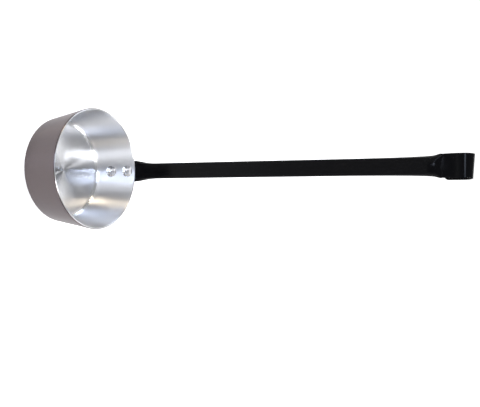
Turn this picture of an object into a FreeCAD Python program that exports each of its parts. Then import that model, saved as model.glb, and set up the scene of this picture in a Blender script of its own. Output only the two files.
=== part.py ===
import FreeCAD, Part
import math
import os
import Sketcher
from FreeCAD import Placement, Rotation, Vector

# Pouring ladle: a spun aluminium cup with a long pressed steel handle, held to the
# cup's outer wall by two aluminium rivets. The handle is one strip. It lies flat on
# the wall, turns into a channel above the rim, opens to a flat plate again at the far
# end and is bent backwards there into a hook.
# Frame: origin at the centre of the cup's underside, +Z out of the cup's mouth and
# +X towards the handle. Millimetres and degrees.

os.makedirs("parts", exist_ok=True)
doc = FreeCAD.newDocument("pouring_ladle")

# ---------------------------------------------------------------- driving values
# name: (value, note)
VALUES = {
    "rim_radius": (60.0, "outside of the cup at its rim"),
    "base_radius": (52.5, "where the wall's line meets the underside"),
    "cup_height": (47.0, "underside to rim"),
    "wall": (1.8, "sheet of the cup"),
    "base_corner": (4.2, "outside radius between base and wall"),
    "rim_break": (0.45, "how far the trimmed rim's two edges are broken"),
    "strip": (1.2, "sheet of the handle"),
    "tab_width": (22.4, "handle where it is riveted"),
    "tab_drop": (39.0, "lowest point of the tab below the rim"),
    "tab_rise": (1.0, "where the tab starts to turn into the channel above the rim"),
    "web_flat": (11.3, "flat of the channel"),
    "corner_length": (3.14, "developed length of each channel corner"),
    "corner_curve": (0.5, "curvature of each channel corner, per mm"),
    "channel_start": (26.5, "along the strip from the rim"),
    "channel_end": (228.0, "along the strip from the rim"),
    "facet_start": (306.0, "where the crown of the channel is pressed down"),
    "facet_length": (8.8, "from the crown to the flat plate"),
    "facet_drop": (3.0, "how far the plate lies behind the crown"),
    "facet_turn": (2.7, "how far the pressed face is out of square, degrees"),
    "arch_radius": (18.0, "outside of the shallow arch that the pressed face is cut into"),
    "plate_width": (23.0, "flat strip at the hook"),
    "plate_end": (333.0, "where the hook's bend starts"),
    "hook_inner": (8.4, "inside radius of the hook's bend"),
    "hook_skew": (4.0, "how far the bend's axis leans over, degrees"),
    "tongue": (17.0, "straight end of the hook"),
    "tongue_corner": (4.0, "corner radius of the hook's end"),
    "shank": (2.5, "radius of a rivet's shank and of its holes"),
    "upper_rivet_drop": (8.4, "upper rivet below the rim, on the wall's outside"),
    "lower_rivet_drop": (27.8, "lower rivet below the rim, on the wall's outside"),
    "head_radius": (6.0, "rivet head inside the cup"),
    "head_height": (1.7, "rivet head inside the cup"),
    "tail_radius": (4.6, "formed end of a rivet on the handle"),
    "tail_flat": (3.2, "radius of the flat that the set leaves on a formed end"),
    "tail_height": (1.8, "formed end of a rivet on the handle"),
    "head_edge": (0.5, "straight edge of a rivet head below its dome"),
    "tail_edge": (0.4, "straight edge of a rivet's formed end below its dome"),
}

sheet = doc.addObject("Spreadsheet::Sheet", "Sizes")
for row, (name, (value, note)) in enumerate(VALUES.items(), start=1):
    sheet.set("A%d" % row, name)
    sheet.set("B%d" % row, str(value))
    sheet.set("C%d" % row, note)
    sheet.setAlias("B%d" % row, name)
doc.recompute()


def val(name):
    return float(getattr(sheet, name))


# ---------------------------------------------------------------- derived places
TAB_LOW = val("cup_height") - val("tab_drop")
TAB_TOP = val("cup_height") + val("tab_rise")
RIVET_HEIGHTS = {
    name: val("cup_height") - val(name + "_drop") for name in ("upper_rivet", "lower_rivet")
}
REACH = 8 * (val("wall") + val("strip"))  # length of the cut that drills both sheets
TAPER = math.degrees(math.atan((val("rim_radius") - val("base_radius")) / val("cup_height")))
ACROSS = val("wall") / math.cos(math.radians(TAPER))  # wall thickness in a level cut
RIM_POINT = Vector(val("rim_radius"), 0, val("cup_height"))
ALONG = Vector(math.sin(math.radians(TAPER)), 0, math.cos(math.radians(TAPER)))
OUTWARD = Vector(math.cos(math.radians(TAPER)), 0, -math.sin(math.radians(TAPER)))


def wall_radius(z):
    """Outside radius of the cup at height z."""
    return val("base_radius") + z * math.tan(math.radians(TAPER))


def on_strip(s, y=0.0, behind=0.0):
    """A point s along the strip from the rim, y across it and behind its front face."""
    return RIM_POINT + ALONG * s + Vector(0, y, 0) + OUTWARD * behind


def across_strip(s, turn=0.0):
    """Placement of a sketch square to the strip: its x runs along +Y, its y forwards."""
    rot = Rotation(Vector(0, 1, 0), -OUTWARD, ALONG, "ZXY")
    if turn:
        rot = Rotation(ALONG, turn) * rot
    return Placement(on_strip(s), rot)


def side_on():
    """Placement of a sketch on the strip's side: x along the strip, y forwards."""
    return Placement(RIM_POINT, Rotation(ALONG, -OUTWARD, Vector(0, -1, 0), "ZXY"))


# ---------------------------------------------------------------- small helpers
def new_body(name):
    body = doc.addObject("PartDesign::Body", name)
    body.Label = name
    return body


def origin_plane(body, role):
    for item in body.Origin.OriginFeatures:
        if item.Role == role:
            return item
    raise RuntimeError("no origin plane " + role)


def add_sketch(body, name, placement=None, role="XY_Plane"):
    """A sketch on one of the body's own planes, moved to placement if it is given."""
    sk = body.newObject("Sketcher::SketchObject", name)
    plane = origin_plane(body, role)
    sk.AttachmentSupport = [(plane, "")]
    sk.MapMode = "FlatFace"
    if placement is not None:
        sk.AttachmentOffset = placement
    return sk


def line(sk, a, b):
    sk.addGeometry(Part.LineSegment(Vector(a[0], a[1], 0), Vector(b[0], b[1], 0)))


def arc(sk, a, m, b):
    """An arc through three points, or a line where they are in one line."""
    a, m, b = (Vector(p[0], p[1], 0) for p in (a, m, b))
    if abs((m - a).cross(b - a).z) < 1e-9:
        sk.addGeometry(Part.LineSegment(a, b))
    else:
        sk.addGeometry(Part.Arc(a, m, b))


def polygon(sk, points):
    for a, b in zip(points, points[1:] + points[:1]):
        line(sk, a, b)


def done(label):
    """Recomputes and stops at the first feature that failed."""
    doc.recompute()
    for obj in doc.Objects:
        if "Invalid" in obj.State or "Error" in obj.State:
            raise RuntimeError("%s: %s is %s" % (label, obj.Name, obj.State))


def changed(body, before, label, sign):
    """Stops if a cut or an addition left the body's volume as it was."""
    after = body.Shape.Volume
    if (after - before) * sign < 0.01:
        raise RuntimeError("%s changed the volume from %.3f to %.3f" % (label, before, after))


# ---------------------------------------------------------------- cup
def arc_between(sk, centre, radius, start_deg, end_deg):
    a, b = math.radians(start_deg), math.radians(end_deg)
    m = (a + b) / 2
    pts = [(centre[0] + radius * math.cos(v), centre[1] + radius * math.sin(v)) for v in (a, m, b)]
    arc(sk, *pts)
    return pts[0], pts[2]


def make_cup():
    """Spun in one piece: flat base, round corner, tapered wall and a trimmed rim."""
    body = new_body("cup")
    t = val("wall")
    r_out = val("base_corner")
    r_in = r_out - t
    # both corner arcs have their centre one outside radius away from the base and the wall
    centre = (wall_radius(r_out) - r_out / math.cos(math.radians(TAPER)), r_out)
    sk = add_sketch(body, "cup_profile", role="XZ_Plane")
    o1, o2 = arc_between(sk, centre, r_out, -90, -TAPER)
    i1, i2 = arc_between(sk, centre, r_in, -90, -TAPER)
    # rim: cut square to the wall, with both edges broken
    b = val("rim_break")
    rim_out = (val("rim_radius"), val("cup_height"))
    rim_in = (rim_out[0] - OUTWARD.x * t, rim_out[1] - OUTWARD.z * t)
    rim = [
        (rim_out[0] - ALONG.x * b, rim_out[1] - ALONG.z * b),
        (rim_out[0] - OUTWARD.x * b, rim_out[1] - OUTWARD.z * b),
        (rim_in[0] + OUTWARD.x * b, rim_in[1] + OUTWARD.z * b),
        (rim_in[0] - ALONG.x * b, rim_in[1] - ALONG.z * b),
    ]
    line(sk, (0, 0), o1)
    for a, c in zip([o2] + rim, rim + [i2]):
        line(sk, a, c)
    line(sk, i1, (0, t))
    line(sk, (0, t), (0, 0))
    rev = body.newObject("PartDesign::Revolution", "cup_spun")
    rev.Profile = sk
    rev.ReferenceAxis = (sk, ["V_Axis"])
    rev.Angle = 360
    done("cup")
    drill(body, "cup")
    return body


def drill(body, prefix):
    """Both rivet holes, square to the wall, as circles on a plane along the wall."""
    before = body.Shape.Volume
    sk = add_sketch(body, prefix + "_hole_places", wall_plane())
    for z in RIVET_HEIGHTS.values():
        x = (z - val("cup_height")) / math.cos(math.radians(TAPER))
        sk.addGeometry(Part.Circle(Vector(x, 0, 0), Vector(0, 0, 1), val("shank")))
        n = len(sk.Geometry) - 1
        sk.addConstraint(Sketcher.Constraint("Radius", n, val("shank")))
        sk.setExpression("Constraints[%d]" % (len(sk.Constraints) - 1), "Sizes.shank")
    cut = body.newObject("PartDesign::Pocket", prefix + "_holes")
    cut.Profile = sk
    cut.Type = 0
    cut.Midplane = True
    cut.Length = REACH
    done(prefix + " holes")
    changed(body, before, prefix + " holes", -1)


def wall_plane():
    """On the wall's outer line: x along it from the rim, z straight out of it."""
    return Placement(RIM_POINT, Rotation(ALONG, OUTWARD.cross(ALONG), OUTWARD, "ZXY"))


# ---------------------------------------------------------------- handle
def section(front_curves, flange):
    """Half of the strip's section as points on its front and back faces.

    front_curves: curvature of the flat, the corner and the flange, positive where
    the edge turns backwards. The developed lengths stay the same all along.
    """
    t = val("strip")
    y, z, heading = 0.0, -t / 2, 0.0
    lengths = (val("web_flat") / 2, val("corner_length"), flange)
    front, back = [], []

    def put():
        ny, nz = math.sin(heading), math.cos(heading)
        front.append((y + ny * t / 2, z + nz * t / 2))
        back.append((y - ny * t / 2, z - nz * t / 2))

    put()
    for length, k in zip(lengths, front_curves):
        for _ in range(2):
            turn = k * length / 2
            chord = length / 2 if abs(turn) < 1e-9 else math.sin(turn / 2) / (k / 2)
            y += chord * math.cos(heading + turn / 2)
            z -= chord * math.sin(heading + turn / 2)
            heading += turn
            put()
    return front, back


def draw_section(sk, front, back, mirror):
    """Closed section of twelve edges from its half, in the same order every time."""
    def flip(p):
        return (p[0] * mirror[0], p[1] * mirror[1])

    arc(sk, flip(front[6]), flip(front[5]), flip(front[4]))
    arc(sk, flip(front[4]), flip(front[3]), flip(front[2]))
    arc(sk, flip(front[2]), front[0], front[2])
    arc(sk, front[2], front[3], front[4])
    arc(sk, front[4], front[5], front[6])
    line(sk, front[6], back[6])
    arc(sk, back[6], back[5], back[4])
    arc(sk, back[4], back[3], back[2])
    arc(sk, back[2], back[0], flip(back[2]))
    arc(sk, flip(back[2]), flip(back[3]), flip(back[4]))
    arc(sk, flip(back[4]), flip(back[5]), flip(back[6]))
    line(sk, flip(back[6]), flip(front[6]))


def strip_sketch(body, name, s, curves, flange):
    sk = add_sketch(body, name, across_strip(s))
    front, back = section(curves, flange)
    draw_section(sk, front, back, (-1, 1))
    return sk


def flange_for(width):
    """Developed flange of a strip as wide as this when it is flat."""
    return (width - val("web_flat")) / 2 - val("corner_length")


def flange_at(s):
    """As wide as the tab needs up to the channel's end, then wider towards the plate."""
    narrow = flange_for(val("tab_width"))
    wide = flange_for(val("plate_width"))
    share = (s - val("channel_end")) / (val("plate_end") - val("channel_end"))
    return narrow + (wide - narrow) * max(0.0, min(1.0, share))


def tab_end_sketch(body):
    """Level cut through the tab, as arcs round the cup's axis."""
    z = TAB_TOP
    sk = add_sketch(body, "tab_end", Placement(Vector(0, 0, z), Rotation()))
    r_in = wall_radius(z)
    r_out = r_in + val("strip") / math.cos(math.radians(TAPER))
    y1 = val("web_flat") / 2
    y2 = y1 + val("corner_length")
    y3 = val("tab_width") / 2

    def pt(r, y):
        return (math.sqrt(r * r - y * y), y)

    # the front face is the one nearer to the cup's axis
    places = (0, y1 / 2, y1, (y1 + y2) / 2, y2, (y2 + y3) / 2, y3)
    front = [pt(r_in, y) for y in places]
    back = [pt(r_out, y) for y in places]
    draw_section(sk, front, back, (1, -1))
    return sk


def make_tab(body):
    """Flat end of the strip, rolled round the cup's wall and lying on it."""
    t = val("strip")
    sk = add_sketch(body, "tab_profile", role="XZ_Plane")
    low, top = TAB_LOW - 1, TAB_TOP
    out = t / math.cos(math.radians(TAPER))
    polygon(sk, [
        (wall_radius(low), low), (wall_radius(low) + out, low),
        (wall_radius(top) + out, top), (wall_radius(top), top),
    ])
    rev = body.newObject("PartDesign::Revolution", "tab_rolled")
    rev.Profile = sk
    rev.ReferenceAxis = (sk, ["V_Axis"])
    # rolled wider than the tab, then cut to its outline
    rev.Angle = 2 * math.degrees(math.asin(0.8 * val("tab_width") / wall_radius(low)))
    rev.Midplane = True
    done("tab")
    before = body.Shape.Volume
    sk = add_sketch(body, "tab_outline", role="YZ_Plane")
    half = val("tab_width") / 2
    zc = TAB_LOW + half
    far = 3 * half
    # everything outside the outline: a frame open at its top
    arc(sk, (-half, zc), (0, TAB_LOW), (half, zc))
    line(sk, (half, zc), (half, top + 1))
    line(sk, (half, top + 1), (far, top + 1))
    line(sk, (far, top + 1), (far, 0))
    line(sk, (far, 0), (-far, 0))
    line(sk, (-far, 0), (-far, top + 1))
    line(sk, (-far, top + 1), (-half, top + 1))
    line(sk, (-half, top + 1), (-half, zc))
    cut = body.newObject("PartDesign::Pocket", "tab_cut")
    cut.Profile = sk
    cut.Type = 0
    cut.Length = 2 * val("rim_radius")
    cut.Reversed = True
    done("tab outline")
    changed(body, before, "tab outline", -1)


def loft(body, name, sketches, ruled=False):
    before = body.Shape.Volume
    feat = body.newObject("PartDesign::AdditiveLoft", name)
    feat.Profile = sketches[0]
    feat.Sections = sketches[1:]
    feat.Ruled = ruled
    feat.Refine = False
    done(name)
    changed(body, before, name, 1)
    return feat


# share of the way from the tab to the channel: (how much of the tab's curve is left,
# how far the edges have turned back)
NECK_STAGES = (
    (0.141, 0.80, 0.57), (0.243, 0.60, 0.69), (0.384, 0.32, 0.81),
    (0.565, 0.10, 0.91), (0.761, 0.0, 0.975), (1.0, 0.0, 1.0),
)


def make_neck(body):
    """From the curved tab to the channel: the edges turn back just above the rim."""
    round_tab = -math.cos(math.radians(TAPER)) / wall_radius(TAB_TOP)
    corner = val("corner_curve")
    first = (TAB_TOP - val("cup_height")) / math.cos(math.radians(TAPER))
    sketches = [tab_end_sketch(body)]
    for n, (share, left, turned) in enumerate(NECK_STAGES):
        s = first + (val("channel_start") - first) * share
        base = round_tab * left
        curves = (base, base + turned * (corner - base), base * (1 - turned))
        sketches.append(strip_sketch(body, "neck_%d" % n, s, curves, flange_at(s)))
    loft(body, "neck", sketches)
    return sketches[-1]


def make_channel(body, start):
    """Straight channel of one section."""
    before = body.Shape.Volume
    pad = body.newObject("PartDesign::Pad", "channel")
    pad.Profile = start
    pad.Length = val("channel_end") - val("channel_start")
    pad.setExpression("Length", "Sizes.channel_end - Sizes.channel_start")
    pad.Refine = False
    done("channel")
    changed(body, before, "channel", 1)


OPENED = (0.0714, 0.15, 0.03)  # curvatures of flat, corner and flange once half open
# share of the way from the channel to the pressed face: how far the section has opened
OPENING_STAGES = (
    (0.0, 0.0), (0.154, 0.03), (0.32, 0.09), (0.487, 0.17), (0.628, 0.235),
    (0.769, 0.32), (0.846, 0.40), (0.91, 0.49), (0.9615, 0.60), (1.0, 0.70),
)


def make_opening(body):
    """The channel opens out: its edges swing up until the strip is a shallow arch."""
    shut = (0.0, val("corner_curve"), 0.0)
    sketches = []
    for n, (share, opened) in enumerate(OPENING_STAGES):
        s = val("channel_end") + (val("facet_start") - val("channel_end")) * share
        last = [a + (b - a) * opened for a, b in zip(shut, OPENED)]
        sketches.append(strip_sketch(body, "opening_%d" % n, s, last, flange_at(s)))
    for n, share in enumerate((0.4, 1.0)):
        s = val("facet_start") + val("facet_length") * share
        curves = [a + (1 / val("arch_radius") - a) * share for a in last]
        sketches.append(strip_sketch(body, "arch_%d" % n, s, curves, flange_at(crease())))
    loft(body, "opening", sketches)


def crease():
    """Where the pressed face meets the flat plate."""
    return val("facet_start") + val("facet_length")


def arch_width():
    """Width of the arch's front face at the crease."""
    half = val("web_flat") / 2 + val("corner_length") + flange_at(crease())
    return 2 * (val("arch_radius") + val("strip") / 2) * math.sin(half / val("arch_radius"))


def slope():
    return val("facet_drop") / val("facet_length")


def press_facet(body):
    """The crown is pressed down in one flat face, whose edge on the arch is a rounded V."""
    start, turn = val("facet_start"), val("facet_turn")
    place = Placement(RIM_POINT, Rotation(ALONG, turn) * side_on().Rotation)
    before = body.Shape.Volume
    sk = add_sketch(body, "facet_cut_side", place)
    far = val("facet_length") * 1.45
    above = 2 * val("facet_drop")
    polygon(sk, [(start, 0), (start + far, -slope() * far), (start + far, above), (start, above)])
    cut = body.newObject("PartDesign::Pocket", "facet_cut")
    cut.Profile = sk
    cut.Type = 0
    cut.Midplane = True
    cut.Length = 2 * val("plate_width")
    cut.Refine = False
    done("facet cut")
    changed(body, before, "facet cut", -1)
    sketches = []
    thick = val("strip") * math.sqrt(1 + slope() ** 2)
    for n, share in enumerate((0.1, 0.2, 0.36, 0.57, 0.8, 1.1)):
        d = val("facet_length") * share
        h = slope() * d
        half = math.sqrt(2 * val("arch_radius") * h - h * h) - val("strip") / 2
        sk = add_sketch(body, "facet_%d" % n, across_strip(start + d, turn))
        polygon(sk, [(-half, -h), (half, -h), (half, -h - thick), (-half, -h - thick)])
        sketches.append(sk)
    loft(body, "facet", sketches)


def box_section(sk, width, front):
    back = front - val("strip")
    polygon(sk, [(-width / 2, front), (width / 2, front), (width / 2, back), (-width / 2, back)])


def make_plate(body):
    """Flat strip between the pressed face and the hook."""
    start = crease() - 0.2 * val("strip")
    narrow, wide = arch_width(), val("plate_width")
    sketches = []
    # it reaches its full width early, as the arch's edges flare out into it
    for n, (along, flared) in enumerate(((0.0, 0.05), (0.33, 0.7), (1.0, 1.0))):
        sk = add_sketch(body, "plate_%d" % n, across_strip(start + (val("plate_end") - start) * along))
        box_section(sk, narrow + (wide - narrow) * flared, -val("facet_drop"))
        sketches.append(sk)
    loft(body, "plate", sketches)


def bend_axis():
    """A point on the bend's axis and its direction, which leans by hook_skew."""
    behind = val("facet_drop") + val("strip") + val("hook_inner")
    lean = math.radians(val("hook_skew"))
    direction = Vector(0, 1, 0) * math.cos(lean) + OUTWARD * math.sin(lean)
    return on_strip(val("plate_end"), 0, behind), direction


def make_hook(body):
    """Half a turn backwards, then a straight tongue with round corners."""
    before = body.Shape.Volume
    sk = add_sketch(body, "hook_section", across_strip(val("plate_end")))
    box_section(sk, val("plate_width"), -val("facet_drop"))
    low = -(val("facet_drop") + val("strip") + val("hook_inner"))
    reach = val("plate_width")
    rise = math.tan(math.radians(val("hook_skew"))) * reach
    axis = Part.LineSegment(Vector(-reach, low + rise, 0), Vector(reach, low - rise, 0))
    sk.addGeometry(axis, True)
    rev = body.newObject("PartDesign::Revolution", "hook_bend")
    rev.Profile = sk
    rev.ReferenceAxis = (sk, ["Axis0"])
    rev.Angle = 180
    rev.Refine = False
    done("hook bend")
    changed(body, before, "hook bend", 1)

    before = body.Shape.Volume
    t = val("strip")
    rot = Rotation(ALONG, Vector(0, 1, 0), ALONG.cross(Vector(0, 1, 0)), "ZXY")
    flat = Placement(on_strip(val("plate_end"), 0, val("facet_drop") + t / 2), rot)
    point, direction = bend_axis()
    place = Placement(Vector(0, 0, 0), Rotation(direction, 180), point) * flat
    sk = add_sketch(body, "tongue_outline", place)
    half, length, r = val("plate_width") / 2, val("tongue"), val("tongue_corner")
    c = r * (1 - math.sqrt(0.5))
    line(sk, (0, -half), (length - r, -half))
    arc(sk, (length - r, -half), (length - c, -half + c), (length, -half + r))
    line(sk, (length, -half + r), (length, half - r))
    arc(sk, (length, half - r), (length - c, half - c), (length - r, half))
    line(sk, (length - r, half), (0, half))
    line(sk, (0, half), (0, -half))
    pad = body.newObject("PartDesign::Pad", "tongue_flat")
    pad.Profile = sk
    pad.Midplane = True
    pad.Length = t
    pad.setExpression("Length", "Sizes.strip")
    pad.Refine = False
    done("tongue")
    changed(body, before, "tongue", 1)


def make_handle():
    """One pressed strip: tab, neck, channel, opening, pressed face, plate and hook."""
    body = new_body("handle")
    make_tab(body)
    make_channel(body, make_neck(body))
    make_opening(body)
    press_facet(body)
    make_plate(body)
    make_hook(body)
    drill(body, "handle")
    return body


# ---------------------------------------------------------------- rivets
def axis_plane(z):
    """Through a rivet's axis: x straight out of the wall at height z, y up the wall."""
    along = (z - val("cup_height")) / math.cos(math.radians(TAPER))
    return Placement(on_strip(along), Rotation(OUTWARD, ALONG, Vector(0, -1, 0), "ZXY"))


def dome(sk, face, radius, height, edge, sunk):
    """Half section of a low domed head; it starts sunk into the sheet and is cut to it."""
    rise = height - edge
    big = (radius ** 2 + rise ** 2) / (2 * rise)
    half = math.asin(radius / big) / 2
    top = face - height
    mid = (top + big * (1 - math.cos(half)), big * math.sin(half))
    line(sk, (face + sunk, 0), (face + sunk, radius))
    line(sk, (face + sunk, radius), (face - edge, radius))
    arc(sk, (face - edge, radius), mid, (top, 0))
    line(sk, (top, 0), (face + sunk, 0))


def button(sk, face, radius, height, edge, flat, sunk):
    """Half section of a formed end: short cone with a flat top, sunk like a dome."""
    polygon(sk, [
        (face - sunk, 0), (face - sunk, radius), (face + edge, radius),
        (face + height, flat), (face + height, 0),
    ])


def spin(body, sk, name):
    rev = body.newObject("PartDesign::Revolution", name)
    rev.Profile = sk
    rev.ReferenceAxis = (sk, ["H_Axis"])
    rev.Angle = 360
    rev.Refine = False
    done(name)


def make_rivet(name, z):
    """Low domed head inside the cup, shank through both sheets, formed end outside."""
    body = new_body(name)
    body.AllowCompound = True  # head and end are apart until the shank joins them
    plane = axis_plane(z)
    sunk = 0.5  # heads start this far inside the sheets, which then cut them
    sk = add_sketch(body, name + "_head", plane)
    dome(sk, -val("wall"), val("head_radius"), val("head_height"), val("head_edge"), sunk)
    spin(body, sk, name + "_head_spun")
    sk = add_sketch(body, name + "_tail", plane)
    sizes = [val("tail_" + key) for key in ("radius", "height", "edge", "flat")]
    button(sk, val("strip"), *sizes, sunk)
    spin(body, sk, name + "_tail_spun")
    # both undersides take the shape of the sheets they are pressed on
    before = body.Shape.Volume
    sk = add_sketch(body, name + "_sheets", role="XZ_Plane")
    out = val("strip") / math.cos(math.radians(TAPER))
    low, high = z - 1.5 * val("head_radius"), z + 1.5 * val("head_radius")
    polygon(sk, [
        (wall_radius(low) - ACROSS, low), (wall_radius(low) + out, low),
        (wall_radius(high) + out, high), (wall_radius(high) - ACROSS, high),
    ])
    cut = body.newObject("PartDesign::Groove", name + "_seats")
    cut.Profile = sk
    cut.ReferenceAxis = (sk, ["V_Axis"])
    cut.Angle = 360
    cut.Refine = False
    done(name + " seats")
    changed(body, before, name + " seats", -1)
    before = body.Shape.Volume
    sk = add_sketch(body, name + "_shank", plane)
    # it ends inside both heads
    low = -val("wall") - val("head_height") / 2
    high = val("strip") + val("tail_height") / 2
    polygon(sk, [(low, 0), (high, 0), (high, val("shank")), (low, val("shank"))])
    spin(body, sk, name + "_shank_spun")
    changed(body, before, name + " shank", 1)
    return body


# ---------------------------------------------------------------- build and write
def main():
    parts = [
        make_cup(),
        make_handle(),
        *(make_rivet(name, z) for name, z in RIVET_HEIGHTS.items()),
    ]
    doc.recompute()
    for obj in doc.Objects:
        if "Invalid" in obj.State or "Error" in obj.State:
            raise RuntimeError("%s is %s" % (obj.Name, obj.State))
    for body in parts:
        shape = body.Shape
        if shape.isNull() or not shape.isValid() or len(shape.Solids) != 1:
            raise RuntimeError("%s has a bad shape" % body.Label)
        shape.exportStep("parts/%s.step" % body.Label)


main()
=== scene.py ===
"""Looks of a pouring ladle: a spun aluminium cup, a black enamelled strip handle and two rivets.

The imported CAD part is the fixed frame: metres, origin at the centre of the cup's underside, +Z out of
its mouth and +X towards the handle. The cup is spun again as a finer mesh on the solid's sizes, so that its
polish runs smoothly; only the bend between its base and wall is softer inside. The handle keeps the solid's
own form with smooth faces and softened edges, and the rivets are the solids themselves with a finish.
"""
import math

import bmesh
import bpy
from bpy.props import FloatProperty, FloatVectorProperty, IntProperty, PointerProperty
from mathutils import Matrix, Vector


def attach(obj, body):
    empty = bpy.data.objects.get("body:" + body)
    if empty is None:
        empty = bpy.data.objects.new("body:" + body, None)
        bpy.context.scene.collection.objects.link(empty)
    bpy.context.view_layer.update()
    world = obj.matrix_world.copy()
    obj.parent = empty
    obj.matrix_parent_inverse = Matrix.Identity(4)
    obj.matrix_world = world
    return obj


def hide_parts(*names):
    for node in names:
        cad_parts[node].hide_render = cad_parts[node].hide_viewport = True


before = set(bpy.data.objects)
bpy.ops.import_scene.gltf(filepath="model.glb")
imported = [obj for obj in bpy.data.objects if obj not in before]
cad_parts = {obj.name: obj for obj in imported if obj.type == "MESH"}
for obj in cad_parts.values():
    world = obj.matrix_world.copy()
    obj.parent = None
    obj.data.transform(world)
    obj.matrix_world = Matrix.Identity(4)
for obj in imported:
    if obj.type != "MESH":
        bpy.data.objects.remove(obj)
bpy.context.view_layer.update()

bl_info = {
    "name": "Pouring ladle",
    "version": (1, 0, 0),
    "blender": (4, 5, 0),
    "location": "3D View > Sidebar > Ladle",
    "description": "Builds the spun cup, the enamelled handle, the rivets and the studio of a pouring ladle",
    "category": "Object",
}

# Turning marks run round the axis, so they draw each light out across them, towards the axis.
TURNED = {"Anisotropic": 1.0, "Anisotropic Rotation": 0.25}
# Heights between which the smoother polish of the cup's base passes into that of its wall.
BASE_POLISH_END, WALL_POLISH_START = 0.0022, 0.007

# Steps along the cup's profile: flat base, bend, wall and rim.
BASE_STEPS, BEND_STEPS, WALL_STEPS, RIM_STEPS = 12, 14, 10, 12
# The rim's rounding starts this far below the edge and rises this high, both as shares of the sheet.
RIM_DROP, RIM_RISE = 0.25, 0.35
MERGE = 1e-6

# The handle's facets join where their corners meet within this distance, and stay sharp above this angle.
WELD = 2e-6
SHARP = math.radians(24)

# The paper floor lies just under the cup. Its edge bends up to a low wall that the backdrop overlaps.
FLOOR_DROP, FLOOR_BEND, FLOOR_TOP, OVERLAP = 0.0001, 0.5, 1.0, 0.1

# Soft boxes, all turned to one point: direction they stand in, distance, size, power and colour.
LIT_POINT = Vector((0.05, 0.0, 0.15))
SOFT_BOXES = {
    "overhead": ((-0.14, -0.272, 0.952), 1.2, (0.2, 0.2), 8.0, "ffffff"),
    "warm_side": ((-0.27, 0.82, 0.5), 1.3, (0.25, 0.25), 4.0, "ffedd0"),
    "cool_front": ((-0.75, 0.2, 0.63), 1.4, (0.5, 0.3), 7.0, "dce8ff"),
    "right_box": ((0.3, -0.75, 0.58), 1.4, (0.6, 0.6), 5.0, "ffffff"),
    "left_box": ((0.4, 0.8, 0.45), 1.4, (0.5, 0.5), 4.0, "e4eeff"),
}


# ------------------------------------------------------------------ colours and nodes
def linear(text):
    """An sRGB hex colour such as 'c8c9cc' as linear red, green, blue and alpha."""
    out = []
    for i in (0, 2, 4):
        c = int(text[i:i + 2], 16) / 255
        out.append(c / 12.92 if c <= 0.04045 else ((c + 0.055) / 1.055) ** 2.4)
    return (*out, 1.0)


def add(tree, kind, settings=None, values=None, links=None):
    """Adds a node: its settings, its unlinked inputs and what its linked inputs come from."""
    n = tree.nodes.new(kind)
    for key, value in (settings or {}).items():
        setattr(n, key, value)
    for key, value in (values or {}).items():
        n.inputs[key].default_value = value
    for key, source in (links or {}).items():
        tree.links.new(source, n.inputs[key])
    return n


def new_material(name):
    """An empty material and its node tree."""
    m = bpy.data.materials.new(name)
    m.use_nodes = True
    m.node_tree.nodes.clear()
    return m, m.node_tree


def finish_material(tree, shader):
    """Joins the shader to the tree's output."""
    add(tree, "ShaderNodeOutputMaterial", links={"Surface": shader.outputs[0]})


def math_node(tree, operation, *inputs):
    """A Math node whose inputs are numbers or sockets."""
    n = add(tree, "ShaderNodeMath", {"operation": operation})
    for i, source in enumerate(inputs):
        if isinstance(source, (int, float)):
            n.inputs[i].default_value = source
        else:
            tree.links.new(source, n.inputs[i])
    return n.outputs[0]


def turned_marks(tree):
    """Sockets for metal spun round the Z axis: its tangent, a place for marks that run round it, its height."""
    place = add(tree, "ShaderNodeTexCoord")
    xyz = add(tree, "ShaderNodeSeparateXYZ", links={0: place.outputs["Object"]})
    x, y, z = xyz.outputs
    radius = math_node(tree, "SQRT", math_node(tree, "ADD", math_node(tree, "MULTIPLY", x, x),
                                               math_node(tree, "MULTIPLY", y, y)))
    back = math_node(tree, "MULTIPLY", y, -1.0)
    tangent = add(tree, "ShaderNodeCombineXYZ", links={0: back, 1: x})
    ring = add(tree, "ShaderNodeCombineXYZ", links={0: radius, 2: z})
    return tangent.outputs[0], ring.outputs[0], z


def mark_bump(tree, ring, scale, strength, depth):
    """The normal of a surface with turning marks of this fineness, strength and depth."""
    marks = add(tree, "ShaderNodeTexNoise", values={"Scale": scale, "Detail": 3.0, "Roughness": 0.6},
                links={"Vector": ring})
    bump = add(tree, "ShaderNodeBump", values={"Strength": strength, "Distance": depth},
               links={"Height": marks.outputs[0]})
    return bump.outputs[0]


# ------------------------------------------------------------------ finishes
def spun_aluminium(look):
    """Inside of the cup: bright metal with turning marks, which draw lights out into rays from the axis."""
    m, t = new_material("spun_aluminium")
    tangent, ring, height = turned_marks(t)
    polish = add(t, "ShaderNodeMapRange",
                 values={"From Min": BASE_POLISH_END, "From Max": WALL_POLISH_START,
                         "To Min": look.base_roughness, "To Max": look.inside_roughness},
                 links={"Value": height})
    shader = add(t, "ShaderNodeBsdfPrincipled",
                 values={"Base Color": (*look.bright, 1.0), "Metallic": 1.0, **TURNED},
                 links={"Tangent": tangent, "Normal": mark_bump(t, ring, 700.0, 0.25, 0.00005),
                        "Roughness": polish.outputs[0]})
    finish_material(t, shader)
    return m


def satin_aluminium_painted_reflection(look):
    """Outside of the cup: satin metal whose dark brownish colour is a painted reflection of a dark brownish
    room, with broad soft rings from spinning over the former.
    """
    m, t = new_material("satin_aluminium_painted_reflection")
    tangent, ring, _ = turned_marks(t)
    # The base colour is darkened and browned here as a painted reflection of a dark brownish room, not the
    # metal's own tone.
    shader = add(t, "ShaderNodeBsdfPrincipled",
                 values={"Base Color": (*look.satin_painted_reflection, 1.0), "Metallic": 1.0, "Roughness": look.outside_roughness,
                         **TURNED},
                 links={"Tangent": tangent, "Normal": mark_bump(t, ring, 260.0, 0.3, 0.0001)})
    finish_material(t, shader)
    return m


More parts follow.
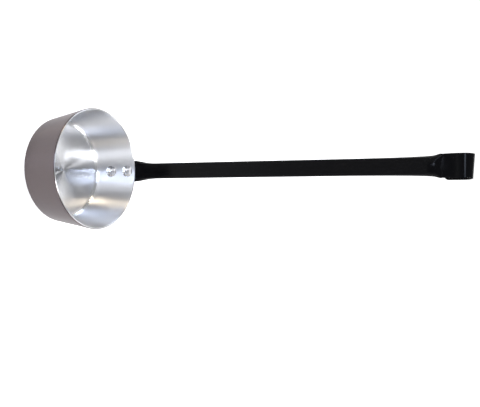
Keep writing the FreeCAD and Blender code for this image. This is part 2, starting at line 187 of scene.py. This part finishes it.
def black_enamel(look):
    """Handle: black gloss enamel, fused on, with rounded edges and almost no texture of its own."""
    m, t = new_material("black_enamel")
    soft = add(t, "ShaderNodeBevel", {"samples": 8}, {"Radius": look.enamel_edge})
    shader = add(t, "ShaderNodeBsdfPrincipled",
                 values={"Base Color": (*look.enamel, 1.0), "Metallic": 0.0, "Roughness": look.enamel_roughness,
                         "Specular IOR Level": look.enamel_shine},
                 links={"Normal": soft.outputs[0]})
    finish_material(t, shader)
    return m


def rivet_aluminium(look):
    """Rivets: bright drawn aluminium."""
    m, t = new_material("rivet_aluminium")
    shader = add(t, "ShaderNodeBsdfPrincipled",
                 values={"Base Color": (*look.bright, 1.0), "Metallic": 1.0, "Roughness": look.rivet_roughness})
    finish_material(t, shader)
    return m


def studio_paper(look, studio):
    """Floor: white matt paper, lifted to white where it is seen, that still takes the object's shadow."""
    m, t = new_material("studio_paper")
    paper = add(t, "ShaderNodeBsdfDiffuse", values={"Color": (*look.paper, 1.0)})
    path = add(t, "ShaderNodeLightPath")
    seen = math_node(t, "MAXIMUM", math_node(t, "MAXIMUM", path.outputs["Is Camera Ray"],
                                             path.outputs["Is Glossy Ray"]), path.outputs["Is Transmission Ray"])
    glow = add(t, "ShaderNodeEmission", values={"Color": (1, 1, 1, 1)},
               links={"Strength": math_node(t, "MULTIPLY", seen, studio.paper_lift)})
    both = add(t, "ShaderNodeAddShader", links={0: paper.outputs[0], 1: glow.outputs[0]})
    finish_material(t, both)
    return m


# ------------------------------------------------------------------ properties
class LadleCup(bpy.types.PropertyGroup):
    """Sizes of the spun cup."""
    rim_radius: FloatProperty(name="Rim radius", description="Outside of the cup at its rim", unit="LENGTH",
                              default=0.060)
    base_radius: FloatProperty(name="Base radius", description="Where the wall's line meets the underside",
                               unit="LENGTH", default=0.0525)
    height: FloatProperty(name="Height", description="Underside to rim", unit="LENGTH", default=0.047)
    wall: FloatProperty(name="Wall", description="Sheet of the cup", unit="LENGTH", default=0.0018)
    corner: FloatProperty(name="Corner", description="Outside radius between base and wall", unit="LENGTH",
                          default=0.0042)
    inner_corner: FloatProperty(name="Inner corner", description="Inside radius between base and wall",
                                unit="LENGTH", default=0.0065)
    segments: IntProperty(name="Segments", description="Steps round the cup", default=256, min=32)


class LadleLook(bpy.types.PropertyGroup):
    """Colours and polish: bright spun metal, satin metal painted dark and brownish as a reflection of a dark
    brownish room, near-black gloss enamel, white paper.
    """
    bright: FloatVectorProperty(name="Bright metal", description="Inside of the cup and the rivets",
                                subtype="COLOR", size=3, default=linear("e2e3e6")[:3])
    # Painted reflection: this dark brownish colour stands for the dark brownish room mirrored in the outer wall.
    satin_painted_reflection: FloatVectorProperty(name="Satin metal", description="Outside of the cup", subtype="COLOR", size=3,
                               default=linear("5c5455")[:3])
    enamel: FloatVectorProperty(name="Enamel", description="Handle", subtype="COLOR", size=3,
                                default=linear("08080a")[:3])
    paper: FloatVectorProperty(name="Paper", description="Floor and backdrop", subtype="COLOR", size=3,
                               default=linear("f6f6f6")[:3])
    inside_roughness: FloatProperty(name="Inside roughness", description="Polish inside the cup",
                                    subtype="FACTOR", default=0.38, min=0.0, max=1.0)
    base_roughness: FloatProperty(name="Base roughness", description="Polish of the cup's floor",
                                  subtype="FACTOR", default=0.22, min=0.0, max=1.0)
    outside_roughness: FloatProperty(name="Outside roughness", description="Polish outside the cup",
                                     subtype="FACTOR", default=0.3, min=0.0, max=1.0)
    enamel_roughness: FloatProperty(name="Enamel roughness", description="Gloss of the handle",
                                    subtype="FACTOR", default=0.12, min=0.0, max=1.0)
    enamel_shine: FloatProperty(name="Enamel shine", description="Strength of the handle's reflections",
                                subtype="FACTOR", default=0.06, min=0.0, max=1.0)
    enamel_edge: FloatProperty(name="Enamel edge", description="Rounding that the enamel gives the edges",
                               unit="LENGTH", default=0.001, min=0.0)
    rivet_roughness: FloatProperty(name="Rivet roughness", description="Polish of the rivets",
                                   subtype="FACTOR", default=0.13, min=0.0, max=1.0)


class LadleStudio(bpy.types.PropertyGroup):
    """Camera and lights."""
    camera_place: FloatVectorProperty(name="Camera place", description="Where the camera stands",
                                      subtype="TRANSLATION", size=3, default=(-0.4988, -0.0315, 0.4800))
    camera_aim: FloatVectorProperty(name="Camera aim", description="Point on the line of sight",
                                    subtype="TRANSLATION", size=3, default=(0.3790, -0.0363, 0.0011))
    camera_roll: FloatProperty(name="Camera roll", description="Turn about the line of sight",
                               subtype="ANGLE", default=math.radians(0.07))
    lens: FloatProperty(name="Lens", description="Focal length on a 36 mm frame, in millimetres", default=48.75)
    paper_lift: FloatProperty(name="Paper lift", description="How much brighter than lit the paper is shown",
                              default=0.8, min=0.0)
    floor_radius: FloatProperty(name="Floor radius", description="Flat part of the paper", unit="LENGTH",
                                default=3.0)
    backdrop_height: FloatProperty(name="Backdrop height", description="Top of the paper behind the handle",
                                   unit="LENGTH", default=4.0)
    backdrop_half_turn: FloatProperty(name="Backdrop half turn", description="Half the paper's spread",
                                      subtype="ANGLE", default=math.radians(60))
    room_light: FloatProperty(name="Room light", description="Strength of the even light from all sides",
                              default=0.36, min=0.0)


# ------------------------------------------------------------------ pieces
def cup_profile(cup):
    """Points (radius, height) from the centre inside, over the rim, to the centre of the underside."""
    taper = math.atan2(cup.rim_radius - cup.base_radius, cup.height)
    out = Vector((math.cos(taper), -math.sin(taper)))
    up = Vector((math.sin(taper), math.cos(taper)))

    def corner(radius, depth):
        """Round bend of this radius between the flat and the wall, at this depth in the sheet."""
        z = depth + radius
        centre = Vector((cup.base_radius + z * math.tan(taper) - z / math.cos(taper), z))
        angles = [-math.pi / 2 + (math.pi / 2 - taper) * i / BEND_STEPS for i in range(BEND_STEPS + 1)]
        return [centre + Vector((math.cos(a), math.sin(a))) * radius for a in angles]

    def straight(a, b, steps):
        """The points between a and b, without them."""
        return [a.lerp(b, i / steps) for i in range(1, steps)]

    rim_out = Vector((cup.rim_radius, cup.height))
    middle = rim_out - out * cup.wall / 2 - up * RIM_DROP * cup.wall
    inner = corner(cup.inner_corner, cup.wall)
    outer = corner(cup.corner, 0.0)
    round_rim = [middle - out * math.cos(a) * cup.wall / 2 + up * math.sin(a) * cup.wall * RIM_RISE
                 for a in [math.pi * i / RIM_STEPS for i in range(RIM_STEPS + 1)]]
    points = [Vector((0, cup.wall))] + straight(Vector((0, cup.wall)), inner[0], BASE_STEPS) + inner
    points += straight(inner[-1], round_rim[0], WALL_STEPS) + round_rim
    points += straight(round_rim[-1], outer[-1], WALL_STEPS) + outer[::-1]
    points += straight(outer[0], Vector((0, 0)), BASE_STEPS) + [Vector((0, 0))]
    inside_share = (BASE_STEPS + len(inner) + WALL_STEPS + RIM_STEPS // 2) / (len(points) - 1)
    return points, inside_share


def link(obj):
    """Puts obj into the scene."""
    bpy.context.scene.collection.objects.link(obj)
    return obj


def interface(tree, name, kind, way="INPUT"):
    """Adds a named input or output to the tree."""
    return tree.interface.new_socket(name=name, in_out=way, socket_type=kind)


def spin_tree(inside, outside):
    """Geometry Nodes: spins the points of a profile round the Z axis and gives each side its finish."""
    t = bpy.data.node_groups.new("spin_profile", "GeometryNodeTree")
    interface(t, "Profile", "NodeSocketGeometry")
    interface(t, "Segments", "NodeSocketInt")
    interface(t, "Points", "NodeSocketInt")
    interface(t, "Inside share", "NodeSocketFloat")
    interface(t, "Geometry", "NodeSocketGeometry", "OUTPUT")
    given = add(t, "NodeGroupInput")
    columns = math_node(t, "ADD", given.outputs["Segments"], 1)
    grid = add(t, "GeometryNodeMeshGrid", values={"Size X": 1.0, "Size Y": 1.0},
               links={"Vertices X": columns, "Vertices Y": given.outputs["Points"]})
    here = add(t, "GeometryNodeInputPosition")
    xyz = add(t, "ShaderNodeSeparateXYZ", links={0: here.outputs[0]})
    turn = math_node(t, "MULTIPLY", math_node(t, "ADD", xyz.outputs[0], 0.5), 2 * math.pi)
    share = math_node(t, "ADD", xyz.outputs[1], 0.5)
    last = math_node(t, "SUBTRACT", given.outputs["Points"], 1)
    index = math_node(t, "ROUND", math_node(t, "MULTIPLY", share, last))
    sample = add(t, "GeometryNodeSampleIndex", {"data_type": "FLOAT_VECTOR", "domain": "POINT"},
                 links={"Geometry": given.outputs["Profile"], "Value": here.outputs[0], "Index": index})
    point = add(t, "ShaderNodeSeparateXYZ", links={0: sample.outputs[0]})
    x = math_node(t, "MULTIPLY", point.outputs[0], math_node(t, "COSINE", turn))
    y = math_node(t, "MULTIPLY", point.outputs[0], math_node(t, "SINE", turn))
    place = add(t, "ShaderNodeCombineXYZ", links={0: x, 1: y, 2: point.outputs[2]})
    kept = add(t, "GeometryNodeStoreNamedAttribute", {"data_type": "FLOAT", "domain": "POINT"},
               {"Name": "profile_share"}, {"Geometry": grid.outputs["Mesh"], "Value": share})
    moved = add(t, "GeometryNodeSetPosition", links={"Geometry": kept.outputs[0], "Position": place.outputs[0]})
    merged = add(t, "GeometryNodeMergeByDistance", values={"Distance": MERGE},
                 links={"Geometry": moved.outputs[0]})
    smooth = add(t, "GeometryNodeSetShadeSmooth", links={"Geometry": merged.outputs[0]})
    named = add(t, "GeometryNodeInputNamedAttribute", {"data_type": "FLOAT"}, {"Name": "profile_share"})
    is_in = add(t, "FunctionNodeCompare", {"data_type": "FLOAT", "operation": "LESS_THAN"},
                links={0: named.outputs[0], 1: given.outputs["Inside share"]})
    real = add(t, "GeometryNodeRealizeInstances", links={"Geometry": smooth.outputs[0]})
    first = add(t, "GeometryNodeSetMaterial", values={"Material": outside}, links={"Geometry": real.outputs[0]})
    second = add(t, "GeometryNodeSetMaterial", values={"Material": inside},
                 links={"Geometry": first.outputs[0], "Selection": is_in.outputs[0]})
    add(t, "NodeGroupOutput", links={0: second.outputs[0]})
    return t


def run_tree(obj, tree, values):
    """Gives obj the tree with these inputs and turns the result into a plain mesh object of the same name."""
    mod = obj.modifiers.new("form", "NODES")
    mod.node_group = tree
    for item in tree.interface.items_tree:
        if item.in_out == "INPUT" and item.name in values:
            mod[item.identifier] = values[item.name]
    bpy.context.view_layer.update()
    graph = bpy.context.evaluated_depsgraph_get()
    mesh = bpy.data.meshes.new_from_object(obj.evaluated_get(graph), preserve_all_data_layers=True,
                                           depsgraph=graph)
    name = obj.name
    old = obj.data
    bpy.data.objects.remove(obj)
    bpy.data.meshes.remove(old)
    mesh.name = name
    return link(bpy.data.objects.new(name, mesh))


def outward(obj):
    """Turns all faces outwards."""
    bm = bmesh.new()
    bm.from_mesh(obj.data)
    bmesh.ops.recalc_face_normals(bm, faces=bm.faces)
    bm.to_mesh(obj.data)
    bm.free()


def stands_for(obj, node):
    """Shows obj in place of this node of the solid part."""
    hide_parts(node)
    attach(obj, "root")


class LADLE_OT_cup(bpy.types.Operator):
    """Spin the cup from its profile"""
    bl_idname = "ladle.cup"
    bl_label = "Cup"

    def execute(self, context):
        cup, look = context.scene.ladle_cup, context.scene.ladle_look
        points, inside_share = cup_profile(cup)
        mesh = bpy.data.meshes.new("spun_cup")
        mesh.from_pydata([(p.x, 0, p.y) for p in points], [(i, i + 1) for i in range(len(points) - 1)], [])
        tree = spin_tree(spun_aluminium(look), satin_aluminium_painted_reflection(look))
        obj = run_tree(link(bpy.data.objects.new("spun_cup", mesh)), tree,
                       {"Segments": cup.segments, "Points": len(points), "Inside share": inside_share})
        if len(obj.data.polygons) < cup.segments:
            raise RuntimeError("the cup was not spun")
        outward(obj)
        stands_for(obj, "cup")
        return {"FINISHED"}


class LADLE_OT_handle(bpy.types.Operator):
    """Enamel the handle"""
    bl_idname = "ladle.handle"
    bl_label = "Handle"

    def execute(self, context):
        look = context.scene.ladle_look
        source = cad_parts["handle"]
        mesh = source.data.copy()
        bm = bmesh.new()
        bm.from_mesh(mesh)
        bmesh.ops.remove_doubles(bm, verts=bm.verts, dist=WELD)
        for face in bm.faces:
            face.smooth = True
        for edge in bm.edges:
            if edge.is_manifold and edge.calc_face_angle(0.0) > SHARP:
                edge.smooth = False
        bm.to_mesh(mesh)
        bm.free()
        mesh.materials.clear()
        mesh.materials.append(black_enamel(look))
        obj = link(bpy.data.objects.new("enamelled_handle", mesh))
        stands_for(obj, "handle")
        return {"FINISHED"}


class LADLE_OT_rivets(bpy.types.Operator):
    """Polish the rivets"""
    bl_idname = "ladle.rivets"
    bl_label = "Rivets"

    def execute(self, context):
        finish = rivet_aluminium(context.scene.ladle_look)
        for name in ("upper_rivet", "lower_rivet"):
            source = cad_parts[name]
            source.data.materials.clear()
            source.data.materials.append(finish)
        return {"FINISHED"}


# ------------------------------------------------------------------ stage
def soft_box(name, direction, distance, size, power, colour):
    """An area light that looks at the lit point from this direction."""
    data = bpy.data.lights.new(name, "AREA")
    data.shape = "RECTANGLE"
    data.size, data.size_y = size
    data.energy = power
    data.color = linear(colour)[:3]
    obj = link(bpy.data.objects.new(name, data))
    away = Vector(direction).normalized()
    obj.location = LIT_POINT + away * distance
    obj.rotation_euler = away.to_track_quat("Z", "Y").to_euler()
    return obj


def paper_sheet(name, verts, faces, paper):
    """A smooth sheet of studio paper."""
    mesh = bpy.data.meshes.new(name)
    mesh.from_pydata(verts, [], faces)
    for face in mesh.polygons:
        face.use_smooth = True
    mesh.materials.append(paper)
    return link(bpy.data.objects.new(name, mesh))


def round_floor(studio, paper):
    """Flat round floor whose edge curves up into a low wall all round."""
    radius, bend = studio.floor_radius, FLOOR_BEND
    steps, turns = 16, 96
    rows = [(radius, 0.0)]
    rows += [(radius + bend * math.sin(a), bend - bend * math.cos(a))
             for a in [math.pi / 2 * i / steps for i in range(1, steps + 1)]]
    rows.append((radius + bend, FLOOR_TOP))
    verts, faces = [(0, 0, -FLOOR_DROP)], []
    for r, z in rows:
        verts += [(r * math.cos(2 * math.pi * k / turns), r * math.sin(2 * math.pi * k / turns), z - FLOOR_DROP)
                  for k in range(turns)]
    for k in range(turns):
        n = (k + 1) % turns
        faces.append((0, 1 + k, 1 + n))
        for i in range(len(rows) - 1):
            a, b = 1 + i * turns, 1 + (i + 1) * turns
            faces.append((a + k, b + k, b + n, a + n))
    return paper_sheet("studio_floor", verts, faces, paper)


def curved_backdrop(studio, paper):
    """Tall curved paper behind the handle, joined to the floor's edge."""
    radius, half, steps = studio.floor_radius + FLOOR_BEND, studio.backdrop_half_turn, 48
    verts, faces = [], []
    for k in range(steps + 1):
        a = -half + 2 * half * k / steps
        verts += [(radius * math.cos(a), radius * math.sin(a), z)
                  for z in (FLOOR_TOP - OVERLAP, studio.backdrop_height)]
        if k < steps:
            faces.append((2 * k, 2 * k + 1, 2 * k + 3, 2 * k + 2))
    return paper_sheet("studio_backdrop", verts, faces, paper)


class LADLE_OT_stage(bpy.types.Operator):
    """Set up the floor, the lights and the camera"""
    bl_idname = "ladle.stage"
    bl_label = "Studio"

    def execute(self, context):
        scene, studio, look = context.scene, context.scene.ladle_studio, context.scene.ladle_look
        paper = studio_paper(look, studio)
        round_floor(studio, paper)
        curved_backdrop(studio, paper)
        world = bpy.data.worlds.new("studio")
        world.use_nodes = True
        world.node_tree.nodes["Background"].inputs["Color"].default_value = linear("ffffff")
        world.node_tree.nodes["Background"].inputs["Strength"].default_value = studio.room_light
        scene.world = world
        for name, box in SOFT_BOXES.items():
            soft_box(name, *box)

        data = bpy.data.cameras.new("camera")
        data.sensor_width = 36.0
        data.lens = studio.lens
        data.clip_end = 20
        obj = link(bpy.data.objects.new("camera", data))
        place = Vector(studio.camera_place)
        ahead = (Vector(studio.camera_aim) - place).normalized()
        right = ahead.cross(Vector((0, 1, 0))).normalized()
        up = right.cross(ahead)
        turn = Matrix.Rotation(-studio.camera_roll, 4, "Z")
        axes = Matrix((right, up, -ahead)).transposed().to_4x4()
        obj.matrix_world = Matrix.Translation(place) @ axes @ turn
        scene.camera = obj
        scene.view_settings.view_transform = "Standard"
        return {"FINISHED"}


# ------------------------------------------------------------------ add-on
class LADLE_PT_panel(bpy.types.Panel):
    """Lists the ladle's pieces"""
    bl_idname = "LADLE_PT_panel"
    bl_label = "Pouring ladle"
    bl_space_type = "VIEW_3D"
    bl_region_type = "UI"
    bl_category = "Ladle"

    def draw(self, context):
        for group in ("ladle_cup", "ladle_look", "ladle_studio"):
            box = self.layout.box()
            settings = getattr(context.scene, group)
            for name in type(settings).__annotations__:
                box.prop(settings, name)
        for operator in OPERATORS:
            self.layout.operator(operator.bl_idname)


GROUPS = {"ladle_cup": LadleCup, "ladle_look": LadleLook, "ladle_studio": LadleStudio}
OPERATORS = (LADLE_OT_cup, LADLE_OT_handle, LADLE_OT_rivets, LADLE_OT_stage)


def register():
    for cls in (*GROUPS.values(), *OPERATORS, LADLE_PT_panel):
        bpy.utils.register_class(cls)
    for name, cls in GROUPS.items():
        setattr(bpy.types.Scene, name, PointerProperty(type=cls))


def unregister():
    for name in GROUPS:
        delattr(bpy.types.Scene, name)
    for cls in reversed((*GROUPS.values(), *OPERATORS, LADLE_PT_panel)):
        bpy.utils.unregister_class(cls)


def main():
    register()
    bpy.ops.ladle.cup()
    bpy.ops.ladle.handle()
    bpy.ops.ladle.rivets()
    bpy.ops.ladle.stage()


if __name__ == "__main__":
    main()
